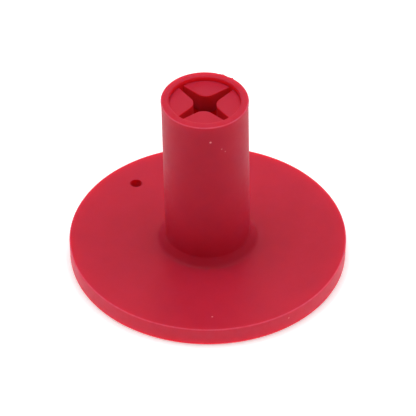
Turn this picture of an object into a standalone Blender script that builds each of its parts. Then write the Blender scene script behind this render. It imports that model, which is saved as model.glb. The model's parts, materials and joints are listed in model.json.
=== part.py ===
"""Rubber tee holder for a practice mat: a flat disc, an upright tube and a gripping cross in the tube's top.

The holder is one rubber moulding. It is modelled as the regions that move against each other when the rubber
bends: the base flange with its foot, the tube that leans on it, and the four lobes round the cross-shaped
opening. Metres, +Z up, origin at the centre of the disc's underside.
"""

import math

import bmesh
import bpy
from mathutils import Vector

# Disc and foot
DISC_RADIUS = 0.0325
DISC_UNDERSIDE_RADIUS = 0.0324
DISC_THICKNESS = 0.0047
FOOT_RADIUS = 0.0114
FOOT_HEIGHT = 0.0068
FOOT_FILLET = 0.0012
TETHER_HOLE_RADIUS = 0.00135
TETHER_HOLE_OFFSET = 0.0255
TETHER_HOLE_ANGLE = math.radians(135)

# Tube
HEIGHT = 0.0459
TUBE_RADIUS = 0.0100
TUBE_FOOT_RADIUS = 0.00993
BORE_RADIUS = 0.0082
RECESS_DEPTH = 0.0011
LEAN_HEIGHT = 0.0120
SEAT_LIP_DROP = 0.0004

# Web and its four lobes
WEB_THICKNESS = 0.0050
WEB_INNER_RADIUS = 0.0060
FLEX_LINE = 0.0062
TEE_OPENING_RADIUS = 0.00265
LOBE_TIP_ROUND = 0.0027
LOBE_HALF_ANGLE = math.radians(50.5)
LOBE_RELIEF_ANGLE = math.radians(13)
LOBES = (("right", 0), ("back", 90), ("left", 180), ("front", 270))

# Finish and detail
GAP = 0.0003
EDGE_ROUND = 0.0003
RIM_INNER_ROUND = 0.0002
CUT_MARGIN = 0.0020
DISC_STEPS = 144
TUBE_STEPS = 96
HOLE_STEPS = 24
SEAT_POINTS = 7
TIP_POINTS = 13
MERGE_DISTANCE = 0.00001
SHARP_ANGLE = math.radians(30)
RUBBER_COLOUR = (0.52, 0.035, 0.060, 1.0)
RUBBER_ROUGHNESS = 0.62

WEB_TOP = HEIGHT - RECESS_DEPTH
WEB_BOTTOM = WEB_TOP - WEB_THICKNESS
LOBE_HINGE_RADIUS = FLEX_LINE - GAP


def clear_scene():
    for obj in list(bpy.data.objects):
        bpy.data.objects.remove(obj, do_unlink=True)


def new_collection(name):
    collection = bpy.data.collections.new(name)
    bpy.context.scene.collection.children.link(collection)
    return collection


def new_object(name, data, collection):
    obj = bpy.data.objects.new(name, data)
    collection.objects.link(obj)
    return obj


def rubber(name):
    material = bpy.data.materials.new(name)
    material.use_nodes = True
    shader = material.node_tree.nodes["Principled BSDF"]
    shader.inputs["Base Color"].default_value = RUBBER_COLOUR
    shader.inputs["Roughness"].default_value = RUBBER_ROUGHNESS
    shader.inputs["Metallic"].default_value = 0.0
    return material


def rounded(corners, steps=4):
    """The outline through (radius, height, rounding) corners, each rounding as an arc."""
    points = []
    for i, (x, z, rounding) in enumerate(corners):
        here = Vector((x, z))
        if rounding == 0:
            points.append(here)
            continue
        before = Vector(corners[i - 1][:2]) - here
        after = Vector(corners[(i + 1) % len(corners)][:2]) - here
        half = before.angle(after) / 2
        centre = here + (before.normalized() + after.normalized()).normalized() * rounding / math.sin(half)
        first = here + before.normalized() * rounding / math.tan(half) - centre
        sweep = math.copysign(math.pi - 2 * half, before.x * after.y - before.y * after.x)
        for k in range(steps + 1):
            turn = -sweep * k / steps
            cos, sin = math.cos(turn), math.sin(turn)
            points.append(centre + Vector((first.x * cos - first.y * sin, first.x * sin + first.y * cos)))
    return [(p.x, p.y) for p in points]


def ball_arc(ball_radius, from_radius, to_radius):
    """Corners on the lower half of the ball round the lean axis, between two distances from Z."""
    corners = []
    for k in range(SEAT_POINTS):
        r = from_radius + (to_radius - from_radius) * k / (SEAT_POINTS - 1)
        corners.append((r, LEAN_HEIGHT - math.sqrt(ball_radius**2 - r**2), 0))
    return corners


def turned(name, outline, steps, collection):
    """A closed outline of (radius, height) points, its outer side running down, turned about Z."""
    count = len(outline)
    mesh = bpy.data.meshes.new(name)
    edges = [(i, (i + 1) % count) for i in range(count)]
    mesh.from_pydata([(r, 0.0, z) for r, z in outline], edges, [])
    obj = new_object(name, mesh, collection)
    screw = obj.modifiers.new("Turn", "SCREW")
    screw.steps = steps
    screw.render_steps = steps
    screw.use_merge_vertices = True
    screw.merge_threshold = MERGE_DISTANCE
    return obj


def make_cutter(name, bm, collection):
    mesh = bpy.data.meshes.new(name)
    bm.to_mesh(mesh)
    bm.free()
    cutter = new_object(name, mesh, collection)
    cutter.hide_render = True
    cutter.display_type = "WIRE"
    return cutter


def cut(obj, cutter):
    boolean = obj.modifiers.new(cutter.name, "BOOLEAN")
    boolean.operation = "DIFFERENCE"
    boolean.solver = "EXACT"
    boolean.object = cutter


def settle(obj):
    """Turns the object's modifiers into its mesh, and shades it smooth between its sharp edges."""
    graph = bpy.context.evaluated_depsgraph_get()
    mesh = bpy.data.meshes.new_from_object(obj.evaluated_get(graph))
    obj.modifiers.clear()
    obj.data = mesh
    mesh.name = obj.name
    mesh.shade_smooth()
    mesh.set_sharp_from_angle(angle=SHARP_ANGLE)


def tether_hole_cutter(collection):
    bm = bmesh.new()
    bmesh.ops.create_cone(
        bm,
        cap_ends=True,
        segments=HOLE_STEPS,
        radius1=TETHER_HOLE_RADIUS,
        radius2=TETHER_HOLE_RADIUS,
        depth=DISC_THICKNESS + 2 * CUT_MARGIN,
    )
    cutter = make_cutter("tether_hole_cutter", bm, collection)
    direction = Vector((math.cos(TETHER_HOLE_ANGLE), math.sin(TETHER_HOLE_ANGLE), 0))
    cutter.location = direction * TETHER_HOLE_OFFSET + Vector((0, 0, DISC_THICKNESS / 2))
    return cutter


def base_flange(parts, cutters):
    """The disc, the conical foot, and the hollow seat that the tube's rounded end leans in."""
    seat_radius = math.hypot(TUBE_FOOT_RADIUS, LEAN_HEIGHT - FOOT_HEIGHT) + GAP
    lip_height = FOOT_HEIGHT - SEAT_LIP_DROP
    foot_slope = (FOOT_RADIUS - TUBE_FOOT_RADIUS) / (FOOT_HEIGHT - DISC_THICKNESS)
    lip_outer_radius = TUBE_FOOT_RADIUS + foot_slope * SEAT_LIP_DROP
    lip_inner_radius = math.sqrt(seat_radius**2 - (LEAN_HEIGHT - lip_height) ** 2)
    corners = [
        (lip_outer_radius, lip_height, 0),
        (FOOT_RADIUS, DISC_THICKNESS, FOOT_FILLET),
        (DISC_RADIUS, DISC_THICKNESS, EDGE_ROUND),
        (DISC_UNDERSIDE_RADIUS, 0, EDGE_ROUND),
        (BORE_RADIUS, 0, 0),
        *ball_arc(seat_radius, BORE_RADIUS, lip_inner_radius),
    ]
    flange = turned("base_flange", rounded(corners), DISC_STEPS, parts)
    cut(flange, tether_hole_cutter(cutters))
    return flange


def lobe_apex():
    """Distance from the tube's axis to the point where a lobe's two straight sides would meet."""
    return TEE_OPENING_RADIUS - LOBE_TIP_ROUND * (1 / math.sin(LOBE_HALF_ANGLE) - 1)


def web_opening_cutter(collection):
    """The eight-sided hole inside the flex lines and the ends of the cross, which the lobes stand in."""
    flex_half_width = (FLEX_LINE - lobe_apex()) * math.tan(LOBE_HALF_ANGLE)
    bm = bmesh.new()
    bmesh.ops.create_cube(bm, size=2 * FLEX_LINE)
    upright = [e for e in bm.edges if abs(e.verts[0].co.z - e.verts[1].co.z) > FLEX_LINE]
    bmesh.ops.bevel(bm, geom=upright, offset=FLEX_LINE - flex_half_width, segments=1, affect="EDGES")
    cutter = make_cutter("web_opening_cutter", bm, collection)
    cutter.location.z = WEB_TOP - WEB_THICKNESS / 2
    return cutter


def tube(parts, cutters):
    """The tube with its rounded lower end, the rim and recess, and the fixed edge of the web."""
    ball_radius = math.hypot(TUBE_FOOT_RADIUS, LEAN_HEIGHT - FOOT_HEIGHT)
    corners = [
        (TUBE_RADIUS, HEIGHT, EDGE_ROUND),
        *ball_arc(ball_radius, TUBE_FOOT_RADIUS, BORE_RADIUS),
        (BORE_RADIUS, WEB_BOTTOM, 0),
        (WEB_INNER_RADIUS, WEB_BOTTOM, 0),
        (WEB_INNER_RADIUS, WEB_TOP, 0),
        (BORE_RADIUS, WEB_TOP, 0),
        (BORE_RADIUS, HEIGHT, RIM_INNER_ROUND),
    ]
    body = turned("tube", rounded(corners), TUBE_STEPS, parts)
    cut(body, web_opening_cutter(cutters))
    return body


def lobe_mesh(collection):
    """One lobe, its origin on its flex line at the web's top: +X points at the tube's axis.

    Below the line the root slopes away, which leaves the lobe room to bend down.
    """
    apex = LOBE_HINGE_RADIUS - lobe_apex()
    tip_centre = LOBE_HINGE_RADIUS - TEE_OPENING_RADIUS - LOBE_TIP_ROUND
    arc = math.pi / 2 - LOBE_HALF_ANGLE
    root_half_width = (apex + GAP) * math.tan(LOBE_HALF_ANGLE)
    outline = [(-GAP, -root_half_width)]
    for k in range(TIP_POINTS):
        turn = arc * (2 * k / (TIP_POINTS - 1) - 1)
        outline.append((tip_centre + LOBE_TIP_ROUND * math.cos(turn), LOBE_TIP_ROUND * math.sin(turn)))
    outline.append((-GAP, root_half_width))

    curve = bpy.data.curves.new("lobe_outline", "CURVE")
    curve.dimensions = "2D"
    curve.fill_mode = "BOTH"
    curve.extrude = WEB_THICKNESS / 2
    spline = curve.splines.new("POLY")
    spline.points.add(len(outline) - 1)
    for point, (x, y) in zip(spline.points, outline):
        point.co = (x, y, 0, 1)
    spline.use_cyclic_u = True

    guide = new_object("lobe_outline", curve, collection)
    graph = bpy.context.evaluated_depsgraph_get()
    mesh = bpy.data.meshes.new_from_object(guide.evaluated_get(graph))
    bpy.data.objects.remove(guide)
    mesh.name = "grip_lobe"
    bm = bmesh.new()
    bm.from_mesh(mesh)
    bmesh.ops.remove_doubles(bm, verts=bm.verts, dist=MERGE_DISTANCE)
    bmesh.ops.translate(bm, verts=bm.verts, vec=(0, 0, -WEB_THICKNESS / 2))
    outward = (-math.cos(LOBE_RELIEF_ANGLE), 0, -math.sin(LOBE_RELIEF_ANGLE))
    geometry = bm.verts[:] + bm.edges[:] + bm.faces[:]
    sliced = bmesh.ops.bisect_plane(bm, geom=geometry, plane_co=(0, 0, 0), plane_no=outward, clear_outer=True)
    rim = [e for e in sliced["geom_cut"] if isinstance(e, bmesh.types.BMEdge)]
    bmesh.ops.holes_fill(bm, edges=rim)
    bmesh.ops.recalc_face_normals(bm, faces=bm.faces)
    bm.to_mesh(mesh)
    bm.free()
    mesh.shade_smooth()
    mesh.set_sharp_from_angle(angle=SHARP_ANGLE)
    return mesh


def grip_lobes(parts, pivot):
    mesh = lobe_mesh(parts)
    mesh.materials.append(rubber("grip_lobe_rubber"))
    for side, degrees in LOBES:
        angle = math.radians(degrees)
        lobe = new_object("grip_lobe_" + side, mesh, parts)
        place = Vector((math.cos(angle), math.sin(angle), 0)) * LOBE_HINGE_RADIUS
        place.z = WEB_TOP
        lobe.parent = pivot
        lobe.location = place - pivot.location
        lobe.rotation_euler.z = angle + math.pi


def main():
    clear_scene()
    parts = new_collection("tee_holder")
    cutters = new_collection("cutters")
    pivot = new_object("tube_lean_pivot", None, parts)
    pivot.location.z = LEAN_HEIGHT

    flange = base_flange(parts, cutters)
    body = tube(parts, cutters)
    for obj in (flange, body):
        settle(obj)
        obj.data.materials.append(rubber(obj.name + "_rubber"))
    body.parent = pivot
    body.location = -pivot.location
    grip_lobes(parts, pivot)


main()
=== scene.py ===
"""Looks of a red rubber tee holder: one continuous moulding and the four lobes that bend in its top."""

import json
import math

import bmesh
import bpy
from mathutils import Matrix, Vector, noise


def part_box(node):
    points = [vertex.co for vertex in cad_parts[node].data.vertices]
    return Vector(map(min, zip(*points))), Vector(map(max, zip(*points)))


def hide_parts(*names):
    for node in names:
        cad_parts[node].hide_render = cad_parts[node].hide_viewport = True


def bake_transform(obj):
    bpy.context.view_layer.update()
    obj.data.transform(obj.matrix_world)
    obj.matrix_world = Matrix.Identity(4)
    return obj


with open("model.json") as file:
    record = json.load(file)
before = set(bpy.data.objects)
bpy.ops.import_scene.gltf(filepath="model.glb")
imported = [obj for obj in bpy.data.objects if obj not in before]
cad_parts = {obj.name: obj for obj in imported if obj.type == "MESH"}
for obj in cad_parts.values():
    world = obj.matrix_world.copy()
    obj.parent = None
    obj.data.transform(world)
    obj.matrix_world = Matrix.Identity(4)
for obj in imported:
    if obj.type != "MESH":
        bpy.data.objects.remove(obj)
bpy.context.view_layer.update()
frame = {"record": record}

MM = 0.001
MOUNTS = {mount["name"]: mount for mount in frame["record"]["mounts"]}
LOBES = (("right", 0), ("back", 90), ("left", 180), ("front", 270))

# Sizes that the frame gives
DISC_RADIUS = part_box("base_flange")[1].x
DISC_THICKNESS = MOUNTS["mat_seat"]["pos_m"][2]
TUBE_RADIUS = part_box("tube")[1].x
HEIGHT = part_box("tube")[1].z
TEE_OPENING_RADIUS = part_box("grip_lobe_right")[0].x
WEB_BOTTOM, WEB_TOP = (corner.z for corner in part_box("grip_lobe_right"))

# Sizes of the moulding that no box of the frame shows
DISC_UNDERSIDE_RADIUS = DISC_RADIUS - 0.1 * MM
FOOT_RADIUS = 11.4 * MM
FOOT_HEIGHT = 6.8 * MM
TUBE_FOOT_RADIUS = TUBE_RADIUS - 0.07 * MM
BORE_RADIUS = 8.2 * MM
TETHER_HOLE_RADIUS = 1.35 * MM
TETHER_HOLE_OFFSET = 25.5 * MM
TETHER_HOLE_ANGLE = math.radians(135)
LOBE_TIP_ROUND = 2.7 * MM
LOBE_HALF_ANGLE = math.radians(50.5)

# How round each edge of the moulding is
OUTER_EDGE_ROUND = 0.32 * MM
UNDERSIDE_EDGE_ROUND = 0.28 * MM
RIM_INNER_ROUND = 0.30 * MM
FOOT_CREASE_ROUND = 0.15 * MM
FOOT_FILLET = 1.3 * MM
MOUTH_ROUND = 0.4 * MM
HOLE_EDGE_ROUND = 0.12 * MM
LOBE_EDGE_ROUND = 0.16 * MM

# How finely the meshes are cut
TURN_STEPS = 384
ROUND_STEPS = 6
LOBE_EDGE_STEPS = 4
LONGEST_STEP = 0.7 * MM
SLICE_STEP = 0.35 * MM
TIP_STEPS = 24
WALL_STEPS = 20
HOLE_STEPS = 48

# Small distances and limits that the cutting, joining and shading of the meshes need
CUTTER_OVERHANG = 1.0 * MM
EMBED = 0.05 * MM
FREE_END_CLEARANCE = 0.1 * MM
JOIN_DISTANCE = 0.001 * MM
ON_AXIS = 1e-6
SHARP_ANGLE = math.radians(40)
FLAT_FACE_WEIGHT = 50

# The soft tube does not stand quite straight: how far its top is off the axis
TUBE_SAG = Vector((-0.71, 0.37, 0)) * MM

# Unevenness of the soft moulding. Torn flash and dips on the rim's outer edge are given by direction in
# degrees from +X, half-width in degrees, and how many mm they stand out, or in where that is negative.
RIM_FLASH = ((68, 1, 0.2), (61, 3, -0.1), (54, 1, 0.3), (75, 1, -0.1))
FLASH_REACH = 1.2 * MM
OUTER_WALL_DEPTH = 0.5 * MM
RIM_FLARE = 0.14 * MM
RIM_FLARE_HEIGHT = 3.0 * MM
UNEVENNESS = 0.025 * MM
UNEVENNESS_SCALE = 9.0 * MM

# Rubber: how far red light travels in it, its colours and grain, the highlight painted on its top edges,
# glow, its specks with painted glints and its skin.
# A speck's numbers are its direction in degrees to the right of the front, its distance from the axis, its
# height, radius and strength.
MOULDING_TRANSLUCENCY = 6.0 * MM
LOBE_TRANSLUCENCY = 1.2 * MM
DEEP_RED = (0.515, 0.0145, 0.0430, 1)
LIGHT_RED = (0.555, 0.0165, 0.0470, 1)
GRAIN_RED = (0.44, 0.009, 0.028, 1)
BLOTCH_SIZE = 7.0 * MM
GRAIN_SIZE = 0.35 * MM
GRAIN_STRENGTH = 0.15
NOISE_LOW = 0.3
NOISE_HIGH = 0.7
# Painted highlight on the rim's and the disc's outer top edges, and a fainter painted sheen on the disc's
# side, in ragged patches
DISC_SIDE_SHEEN = 0.15
HIGHLIGHT_PATCH_SIZE = 1.5 * MM
HIGHLIGHT_NOISE_HIGH = 0.6
HIGHLIGHT_RANGE = (0.55, 0.95)
HIGHLIGHT_GAIN = 2
HIGHLIGHT_SLACK = 0.01
SLOT_GLOW = 0.14
BORE_GLOW = 0.10
LOBE_TOP_GLOW = 0.025
GLOW_COLOUR = (1.0, 0.015, 0.01, 1)
# Pale pink of the painted edge highlight and the painted sheen
EDGE_HIGHLIGHT_COLOUR = (0.66, 0.105, 0.180, 1)
# Pale specks are small chips in the rubber, painted with the glints on them
CHIP_AND_GLINT_COLOUR = (0.90, 0.36, 0.38, 1)
SPECK_CORE = 0.4
SPECKS = (
    (10, TUBE_RADIUS, 41.5 * MM, 0.32 * MM, 1.0),
    (25, TUBE_RADIUS, 39 * MM, 0.24 * MM, 0.4),
    (30, TUBE_RADIUS, 38 * MM, 0.22 * MM, 0.4),
    (5, 28 * MM, DISC_THICKNESS, 0.28 * MM, 0.7),
    (38, DISC_RADIUS, 3 * MM, 0.26 * MM, 0.5),
)
SHEEN_PATCH_SIZE = 1.2 * MM
ROUGHNESS_RANGE = (0.45, 0.55)
PEBBLE_SIZE = 0.22 * MM
PEBBLE_DEPTH = 0.02 * MM

# Studio: a flat lamp on the floor that shines up under the object, and round softboxes by name, azimuth,
# elevation and power. Azimuth 0 is the front and 90 is the right.
STAGE_REACH = 9.0
STAGE_FLAT_RADIUS = 6.0
STAGE_WALL_HEIGHT = 1.5
STAGE_DROP = 0.02 * MM
STAGE_GLOW = 0.32
STAGE_CELLS = 96
TABLE_LAMP_SIZE = 150 * MM
TABLE_LAMP_POWER = 0.019
SOFTBOX_DISTANCE = 2.5
SOFTBOX_SIZE = 1.5
SURROUND_STRENGTH = 0.02
SOFTBOXES = (
    ("high_left_softbox", 270, 72, 26.0),
    ("high_right_softbox", 90, 72, 20.0),
    ("high_back_softbox", 180, 72, 16.0),
    ("low_back_softbox", 180, 18, 14.0),
    ("low_right_softbox", 90, 18, 3.5),
    ("low_left_softbox", 270, 18, 0.5),
)

# Camera: the view from the front, a little to the right and well above the disc
CAMERA_DISTANCE = 980.5 * MM
CAMERA_AZIMUTH = math.radians(2.9)
CAMERA_ELEVATION = math.radians(41.18)
CAMERA_AIM_RIGHT = 0.05 * MM
CAMERA_AIM_UP = 10.09 * MM
CAMERA_LENS = 360.2
CAMERA_SENSOR = 36.0
NEAREST_SEEN = 0.05
FARTHEST_SEEN = 30.0


def rounded(corners):
    """The outline through (radius, height, rounding) corners, each rounding as an arc."""
    points = []
    for i, (x, z, rounding) in enumerate(corners):
        here = Vector((x, z))
        if rounding == 0:
            points.append(here)
            continue
        before = Vector(corners[i - 1][:2]) - here
        after = Vector(corners[(i + 1) % len(corners)][:2]) - here
        half = before.angle(after) / 2
        inward = (before.normalized() + after.normalized()).normalized()
        centre = here + inward * rounding / math.sin(half)
        first = here + before.normalized() * rounding / math.tan(half) - centre
        sweep = math.copysign(math.pi - 2 * half, before.x * after.y - before.y * after.x)
        for k in range(ROUND_STEPS + 1):
            turn = -sweep * k / ROUND_STEPS
            cos, sin = math.cos(turn), math.sin(turn)
            swung = Vector((first.x * cos - first.y * sin, first.x * sin + first.y * cos))
            points.append(centre + swung)
    return points


def densified(points):
    """The same closed outline with no stretch longer than LONGEST_STEP."""
    dense = []
    for here, after in zip(points, points[1:] + points[:1]):
        count = max(1, math.ceil((after - here).length / LONGEST_STEP))
        dense += [here.lerp(after, k / count) for k in range(count)]
    return dense


def new_piece(name, bm):
    mesh = bpy.data.meshes.new(name)
    bm.to_mesh(mesh)
    bm.free()
    piece = bpy.data.objects.new(name, mesh)
    bpy.context.scene.collection.objects.link(piece)
    return piece


def turned(outline):
    """A closed outline of (radius, height) points, its outer side running down, turned about Z."""
    bm = bmesh.new()
    rings = []
    for k in range(TURN_STEPS):
        turn = 2 * math.pi * k / TURN_STEPS
        cos, sin = math.cos(turn), math.sin(turn)
        rings.append([bm.verts.new((p.x * cos, p.x * sin, p.y)) for p in outline])
    for ring, following in zip(rings, rings[1:] + rings[:1]):
        for i in range(len(outline)):
            j = (i + 1) % len(outline)
            bm.faces.new((ring[i], ring[j], following[j], following[i]))
    return bm


def finish_mesh(piece):
    """Smooth shading that stays flat on the flat faces beside each rounded edge."""
    piece.data.shade_smooth()
    piece.data.set_sharp_from_angle(angle=SHARP_ANGLE)
    weighted = piece.modifiers.new("Flat faces stay flat", "WEIGHTED_NORMAL")
    weighted.mode = "FACE_AREA"
    weighted.weight = FLAT_FACE_WEIGHT
    weighted.keep_sharp = True


def moulding_outline():
    return densified(
        rounded(
            [
                (TUBE_RADIUS, HEIGHT, OUTER_EDGE_ROUND),
                (TUBE_FOOT_RADIUS, FOOT_HEIGHT, FOOT_CREASE_ROUND),
                (FOOT_RADIUS, DISC_THICKNESS, FOOT_FILLET),
                (DISC_RADIUS, DISC_THICKNESS, OUTER_EDGE_ROUND),
                (DISC_UNDERSIDE_RADIUS, 0, UNDERSIDE_EDGE_ROUND),
                (BORE_RADIUS, 0, MOUTH_ROUND),
                (BORE_RADIUS, HEIGHT, RIM_INNER_ROUND),
            ]
        )
    )


def tether_hole_outline():
    """The (radius, height) points of a pin that flares at the disc's two faces, from its top down."""
    flare = TETHER_HOLE_RADIUS + HOLE_EDGE_ROUND
    top = DISC_THICKNESS + CUTTER_OVERHANG
    outline = [Vector((flare, top)), Vector((flare, DISC_THICKNESS))]
    for face, away in ((DISC_THICKNESS, -1), (0, 1)):
        arc = []
        for k in range(1, ROUND_STEPS + 1):
            turn = math.pi / 2 * k / ROUND_STEPS
            inset = HOLE_EDGE_ROUND * math.sin(turn)
            drop = HOLE_EDGE_ROUND * (1 - math.cos(turn))
            arc.append(Vector((flare - inset, face + away * drop)))
        outline += arc if away < 0 else arc[::-1]
    return outline + [Vector((flare, 0)), Vector((flare, -CUTTER_OVERHANG))]


def tether_hole_cutter():
    """The pin that leaves a hole with rounded edges in the disc."""
    bm = bmesh.new()
    rings = []
    for point in tether_hole_outline():
        circle = bmesh.ops.create_circle(bm, segments=HOLE_STEPS, radius=point.x)
        bmesh.ops.translate(bm, verts=circle["verts"], vec=(0, 0, point.y))
        rings.append(circle["verts"])
    for upper, lower in zip(rings, rings[1:]):
        for i in range(len(upper)):
            j = (i + 1) % len(upper)
            bm.faces.new((upper[i], lower[i], lower[j], upper[j]))
    bm.faces.new(rings[0])
    bm.faces.new(rings[-1][::-1])
    bmesh.ops.recalc_face_normals(bm, faces=bm.faces)
    cutter = new_piece("tether_hole_cutter", bm)
    cutter.location.x = TETHER_HOLE_OFFSET * math.cos(TETHER_HOLE_ANGLE)
    cutter.location.y = TETHER_HOLE_OFFSET * math.sin(TETHER_HOLE_ANGLE)
    return cutter


def join_close_points(mesh):
    """Join the points that a cut left a hair's breadth apart."""
    bm = bmesh.new()
    bm.from_mesh(mesh)
    bmesh.ops.remove_doubles(bm, verts=bm.verts, dist=JOIN_DISTANCE)
    bm.to_mesh(mesh)
    bm.free()


def clamped(value):
    return min(max(value, 0), 1)


def moulding_edge_highlight(co):
    """How much painted highlight the moulding gets: fully on its two outer top edges, and a little painted
    sheen on the disc's side.
    """
    distance = Vector(co.xy).length
    on_side = distance > DISC_RADIUS - OUTER_EDGE_ROUND and co.z < DISC_THICKNESS
    # The disc's side gets a faint painted sheen, and the rounded top edges get the full painted highlight
    painted_highlight = DISC_SIDE_SHEEN if on_side else 0
    for radius, height in ((TUBE_RADIUS, HEIGHT), (DISC_RADIUS, DISC_THICKNESS)):
        out = (distance - radius) / OUTER_EDGE_ROUND + 1
        up = (co.z - height) / OUTER_EDGE_ROUND + 1
        if 0 < out and 0 < up <= 1 + HIGHLIGHT_SLACK:
            painted_highlight = max(painted_highlight, HIGHLIGHT_GAIN * out * up)
    return min(painted_highlight, 1.0)


def moulding_glow(co):
    """The bore's glow, for light that comes through its wall: none deep down, most of it near the rim."""
    outside = Vector(co.xy).length > BORE_RADIUS + RIM_INNER_ROUND / 2
    if outside or co.z > HEIGHT - RIM_INNER_ROUND / 2:
        return 0.0
    return BORE_GLOW * clamped((co.z - WEB_BOTTOM) / (HEIGHT - WEB_BOTTOM))


def lobe_glow(co):
    """A lobe's glow, for light that comes through it: a little on its top, most of it high on its sides."""
    if co.z > WEB_TOP - LOBE_EDGE_ROUND / 4:
        return LOBE_TOP_GLOW
    return SLOT_GLOW * clamped((co.z - WEB_BOTTOM) / (WEB_TOP - WEB_BOTTOM))


def no_edge_highlight(co):
    return 0.0


def remember_surface(mesh, painted_highlight, glow):
    """Keep each point's moulded place, painted highlight and glow, so that the looks follow the rubber as
    it bends.
    """
    places = [vertex.co.copy() for vertex in mesh.vertices]
    moulded_place = mesh.attributes.new("moulded_place", "FLOAT_VECTOR", "POINT")
    for point, place in zip(moulded_place.data, places):
        point.vector = place
    for name, amount_at in (("edge_highlight", painted_highlight), ("slot_glow", glow)):
        amounts = mesh.attributes.new(name, "FLOAT", "POINT")
        for point, place in zip(amounts.data, places):
            point.value = amount_at(place)


def sag(co):
    """A point of the moulding once the tube has sagged a little to one side."""
    rise = max(0.0, (co.z - FOOT_HEIGHT) / (HEIGHT - FOOT_HEIGHT))
    return co + TUBE_SAG * rise


def make_uneven(mesh):
    """Slow unevenness of a soft moulding that has sagged, its rim a little flared and torn outside."""
    for vertex in mesh.vertices:
        co = vertex.co
        shift = noise.noise(co / UNEVENNESS_SCALE) * UNEVENNESS
        radial = Vector((co.x, co.y, 0))
        if radial.length < ON_AXIS:
            continue
        outward = radial.normalized()
        rim = max(0.0, 1 - (HEIGHT - co.z) / FLASH_REACH)
        flare = max(0.0, 1 - (HEIGHT - co.z) / RIM_FLARE_HEIGHT)
        if radial.length > TUBE_RADIUS - OUTER_WALL_DEPTH and flare > 0:
            shift += RIM_FLARE * flare**2
            angle = math.degrees(math.atan2(co.y, co.x))
            for direction, width, outwards in RIM_FLASH:
                shift += outwards * MM * rim * math.exp(-(((angle - direction) / width) ** 2))
        vertex.co = sag(co + outward * shift)


def make_moulding():
    piece = new_piece("rubber_moulding", turned(moulding_outline()))
    cutter = tether_hole_cutter()
    boolean = piece.modifiers.new("Tether hole", "BOOLEAN")
    boolean.operation = "DIFFERENCE"
    boolean.solver = "EXACT"
    boolean.object = cutter
    graph = bpy.context.evaluated_depsgraph_get()
    cut_mesh = bpy.data.meshes.new_from_object(piece.evaluated_get(graph))
    piece.modifiers.clear()
    piece.data = cut_mesh
    bpy.data.objects.remove(cutter)
    join_close_points(cut_mesh)
    remember_surface(cut_mesh, moulding_edge_highlight, moulding_glow)
    make_uneven(cut_mesh)
    finish_mesh(piece)
    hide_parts("base_flange", "tube")
    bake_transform(piece)
    return piece


def lobe_outline():
    """A lobe seen from above: its tip towards the tube's axis, its root a little inside the tube's wall."""
    sin, tan = math.sin(LOBE_HALF_ANGLE), math.tan(LOBE_HALF_ANGLE)
    apex = TEE_OPENING_RADIUS - LOBE_TIP_ROUND * (1 / sin - 1)
    tip_centre = TEE_OPENING_RADIUS + LOBE_TIP_ROUND
    root = BORE_RADIUS + EMBED
    along = -apex * math.cos(LOBE_HALF_ANGLE) + math.sqrt(root**2 - (apex * sin) ** 2)
    corner_angle = math.asin(along * sin / root)
    half_turn = math.pi / 2 - LOBE_HALF_ANGLE
    points = []
    for k in range(TIP_STEPS + 1):
        turn = math.pi - half_turn + 2 * half_turn * k / TIP_STEPS
        points.append((tip_centre + LOBE_TIP_ROUND * math.cos(turn), LOBE_TIP_ROUND * math.sin(turn)))
    for k in range(WALL_STEPS + 1):
        turn = corner_angle * (2 * k / WALL_STEPS - 1)
        points.append((root * math.cos(turn), root * math.sin(turn)))
    return points


def slice_across(bm, normal, places):
    for place in places:
        geometry = bm.verts[:] + bm.edges[:] + bm.faces[:]
        bmesh.ops.bisect_plane(bm, geom=geometry, plane_co=Vector(normal) * place, plane_no=normal)


def spaced(low, high, step):
    count = math.ceil((high - low) / step)
    return [low + (high - low) * k / count for k in range(1, count)]


def lobe_bmesh():
    bm = bmesh.new()
    outline = [bm.verts.new((x, y, WEB_BOTTOM)) for x, y in lobe_outline()]
    floor = bm.faces.new(outline)
    lifted = bmesh.ops.extrude_face_region(bm, geom=[floor])["geom"]
    top = [v for v in lifted if isinstance(v, bmesh.types.BMVert)]
    bmesh.ops.translate(bm, verts=top, vec=(0, 0, WEB_TOP - WEB_BOTTOM))
    bmesh.ops.recalc_face_normals(bm, faces=bm.faces)
    free_radius = BORE_RADIUS - FREE_END_CLEARANCE
    ends = [
        edge
        for edge in bm.edges
        if abs(edge.verts[0].co.z - edge.verts[1].co.z) < EMBED
        and min(Vector(v.co.xy).length for v in edge.verts) < free_radius
    ]
    bmesh.ops.bevel(
        bm, geom=ends, offset=LOBE_EDGE_ROUND, segments=LOBE_EDGE_STEPS, profile=0.5, affect="EDGES"
    )
    slice_across(bm, (1, 0, 0), spaced(TEE_OPENING_RADIUS, BORE_RADIUS, SLICE_STEP))
    slice_across(bm, (0, 0, 1), spaced(WEB_BOTTOM, WEB_TOP, LONGEST_STEP))
    return bm


def make_lobe(side, degrees):
    turn = Matrix.Rotation(math.radians(degrees), 4, "Z")
    bm = lobe_bmesh()
    bmesh.ops.transform(bm, matrix=turn, verts=bm.verts)
    piece = new_piece("rubber_lobe_" + side, bm)
    remember_surface(piece.data, no_edge_highlight, lobe_glow)
    for vertex in piece.data.vertices:
        vertex.co = sag(vertex.co)
    finish_mesh(piece)
    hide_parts("grip_lobe_" + side)
    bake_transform(piece)
    return piece


def node(tree, kind, **values):
    made = tree.nodes.new(kind)
    for name, value in values.items():
        setattr(made, name, value)
    return made


def noise_texture(tree, coordinates, size, detail=4.0):
    made = node(tree, "ShaderNodeTexNoise")
    made.inputs["Scale"].default_value = 1 / size
    made.inputs["Detail"].default_value = detail
    made.inputs["Roughness"].default_value = 0.55
    tree.links.new(coordinates, made.inputs["Vector"])
    return made.outputs["Fac"]


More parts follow.
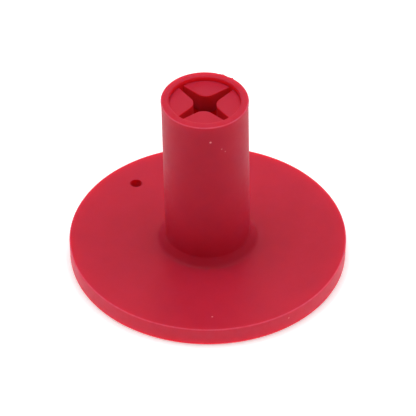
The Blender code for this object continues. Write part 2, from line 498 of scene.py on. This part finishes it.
def mapped(tree, value, low, high, to_low, to_high):
    made = node(tree, "ShaderNodeMapRange")
    for name, number in zip(("From Min", "From Max", "To Min", "To Max"), (low, high, to_low, to_high)):
        made.inputs[name].default_value = number
    tree.links.new(value, made.inputs["Value"])
    return made.outputs["Result"]


def attribute(tree, name):
    return node(tree, "ShaderNodeAttribute", attribute_name=name).outputs


def mixed(tree, factor, first, second):
    """Mix node of colours; factor, first and second are values or sockets."""
    made = node(tree, "ShaderNodeMix", data_type="RGBA")
    for socket, value in ((made.inputs[0], factor), (made.inputs[6], first), (made.inputs[7], second)):
        if isinstance(value, bpy.types.NodeSocket):
            tree.links.new(value, socket)
        else:
            socket.default_value = value
    return made.outputs[2]


def mottled_red(tree, place):
    """Slow blotches of two reds under a fine darker grain."""
    blotches = mapped(tree, noise_texture(tree, place, BLOTCH_SIZE), NOISE_LOW, NOISE_HIGH, 0, 1)
    colour = mixed(tree, blotches, DEEP_RED, LIGHT_RED)
    fine_noise = noise_texture(tree, place, GRAIN_SIZE, detail=3)
    grain = mapped(tree, fine_noise, NOISE_LOW, NOISE_HIGH, 0, GRAIN_STRENGTH)
    return mixed(tree, grain, colour, GRAIN_RED)


def painted_edge_highlights(tree, place, colour):
    """The colour with a painted highlight, paler in ragged patches where the mesh is marked for it."""
    patches = noise_texture(tree, place, HIGHLIGHT_PATCH_SIZE)
    ragged = mapped(tree, patches, NOISE_LOW, HIGHLIGHT_NOISE_HIGH, *HIGHLIGHT_RANGE)
    highlight_amount = node(tree, "ShaderNodeMath", operation="MULTIPLY")
    tree.links.new(attribute(tree, "edge_highlight")["Fac"], highlight_amount.inputs[0])
    tree.links.new(ragged, highlight_amount.inputs[1])
    return mixed(tree, highlight_amount.outputs["Value"], colour, EDGE_HIGHLIGHT_COLOUR)


def chips_with_painted_glints(tree, place, colour):
    """The colour with each pale speck laid over it: a small chip in the rubber, painted with its glint."""
    for direction, distance, height, radius, strength in SPECKS:
        around = math.radians(direction)
        away = node(tree, "ShaderNodeVectorMath", operation="DISTANCE")
        tree.links.new(place, away.inputs[0])
        away.inputs[1].default_value = (distance * math.sin(around), -distance * math.cos(around), height)
        near = mapped(tree, away.outputs["Value"], SPECK_CORE * radius, radius, strength, 0)
        colour = mixed(tree, near, colour, CHIP_AND_GLINT_COLOUR)
    return colour


def pebbled_skin(tree, place):
    """The normal of a surface with fine pebbling."""
    bump = node(tree, "ShaderNodeBump")
    bump.inputs["Strength"].default_value = 0.35
    bump.inputs["Distance"].default_value = PEBBLE_DEPTH
    tree.links.new(noise_texture(tree, place, PEBBLE_SIZE, detail=3), bump.inputs["Height"])
    return bump.outputs["Normal"]


def rubber_material(name, translucency):
    """Matte moulded rubber that lets some red light through, with highlights painted on its edges, specks
    with painted glints and a pebbled skin.
    """
    material = bpy.data.materials.new(name)
    material.use_nodes = True
    tree = material.node_tree
    shader = tree.nodes["Principled BSDF"]
    place = attribute(tree, "moulded_place")["Vector"]

    colour = chips_with_painted_glints(tree, place, painted_edge_highlights(tree, place, mottled_red(tree, place)))
    tree.links.new(colour, shader.inputs["Base Color"])
    sheen_patches = noise_texture(tree, place, SHEEN_PATCH_SIZE)
    roughness = mapped(tree, sheen_patches, NOISE_LOW, NOISE_HIGH, *ROUGHNESS_RANGE)
    tree.links.new(roughness, shader.inputs["Roughness"])
    shader.inputs["Metallic"].default_value = 0.0
    shader.inputs["IOR"].default_value = 1.45
    shader.inputs["Specular IOR Level"].default_value = 0.13

    shader.inputs["Subsurface Weight"].default_value = 1.0
    shader.inputs["Subsurface Radius"].default_value = (1.0, 0.10, 0.08)
    shader.inputs["Subsurface Scale"].default_value = translucency
    shader.inputs["Emission Color"].default_value = GLOW_COLOUR
    tree.links.new(attribute(tree, "slot_glow")["Fac"], shader.inputs["Emission Strength"])
    tree.links.new(pebbled_skin(tree, place), shader.inputs["Normal"])
    return material


def make_stage():
    """A pale floor that curves up into a low wall far away and glows like a light table."""
    bm = bmesh.new()
    bmesh.ops.create_grid(bm, x_segments=STAGE_CELLS, y_segments=STAGE_CELLS, size=STAGE_REACH)
    for vertex in bm.verts:
        rise = (vertex.co.length - STAGE_FLAT_RADIUS) / (STAGE_REACH - STAGE_FLAT_RADIUS)
        vertex.co.z = STAGE_WALL_HEIGHT * clamped(rise) ** 2
    stage = new_piece("studio_floor", bm)
    stage.location.z = -STAGE_DROP
    stage.data.shade_smooth()
    material = bpy.data.materials.new("pale_light_table")
    material.use_nodes = True
    shader = material.node_tree.nodes["Principled BSDF"]
    shader.inputs["Base Color"].default_value = (0.95, 0.95, 0.95, 1)
    shader.inputs["Roughness"].default_value = 0.9
    shader.inputs["Emission Color"].default_value = (1, 1, 1, 1)
    shader.inputs["Emission Strength"].default_value = STAGE_GLOW
    stage.data.materials.append(material)


def make_round_light(name, place, away, size, power):
    """A round area light at place, its back turned to the direction away, and itself unseen."""
    data = bpy.data.lights.new(name, "AREA")
    data.shape = "DISK"
    data.size = size
    data.energy = power
    light = bpy.data.objects.new(name, data)
    light.location = place
    light.rotation_mode = "QUATERNION"
    light.rotation_quaternion = away.to_track_quat("Z", "Y")
    light.visible_camera = False
    bpy.context.scene.collection.objects.link(light)


def make_lights():
    for name, azimuth, elevation, power in SOFTBOXES:
        around, above = math.radians(azimuth), math.radians(elevation)
        level = math.cos(above)
        away = Vector((math.sin(around) * level, -math.cos(around) * level, math.sin(above)))
        place = away * SOFTBOX_DISTANCE + Vector((0, 0, HEIGHT / 2))
        make_round_light(name, place, away, SOFTBOX_SIZE, power)
    under = Vector((0, 0, -STAGE_DROP / 2))
    make_round_light("table_lamp", under, Vector((0, 0, -1)), TABLE_LAMP_SIZE, TABLE_LAMP_POWER)
    world = bpy.data.worlds.new("dim_studio")
    bpy.context.scene.world = world
    world.use_nodes = True
    surround = world.node_tree.nodes["Background"]
    surround.inputs["Color"].default_value = (1, 1, 1, 1)
    surround.inputs["Strength"].default_value = SURROUND_STRENGTH
    bpy.context.scene.view_settings.view_transform = "Standard"


def make_camera():
    data = bpy.data.cameras.new("camera")
    data.sensor_width = CAMERA_SENSOR
    data.lens = CAMERA_LENS
    data.clip_start = NEAREST_SEEN
    data.clip_end = FARTHEST_SEEN
    camera = bpy.data.objects.new("camera", data)
    bpy.context.scene.collection.objects.link(camera)
    azimuth = Matrix.Rotation(CAMERA_AZIMUTH, 4, "Z")
    tilt = Matrix.Rotation(math.pi / 2 - CAMERA_ELEVATION, 4, "X")
    offset = Matrix.Translation((CAMERA_AIM_RIGHT, CAMERA_AIM_UP, CAMERA_DISTANCE))
    camera.matrix_world = azimuth @ tilt @ offset
    bpy.context.scene.camera = camera


make_camera()
make_lights()
make_stage()
moulding_rubber = rubber_material("matte_red_rubber", MOULDING_TRANSLUCENCY)
make_moulding().data.materials.append(moulding_rubber)
lobe_rubber = rubber_material("matte_red_rubber_lobe", LOBE_TRANSLUCENCY)
for side, degrees in LOBES:
    make_lobe(side, degrees).data.materials.append(lobe_rubber)
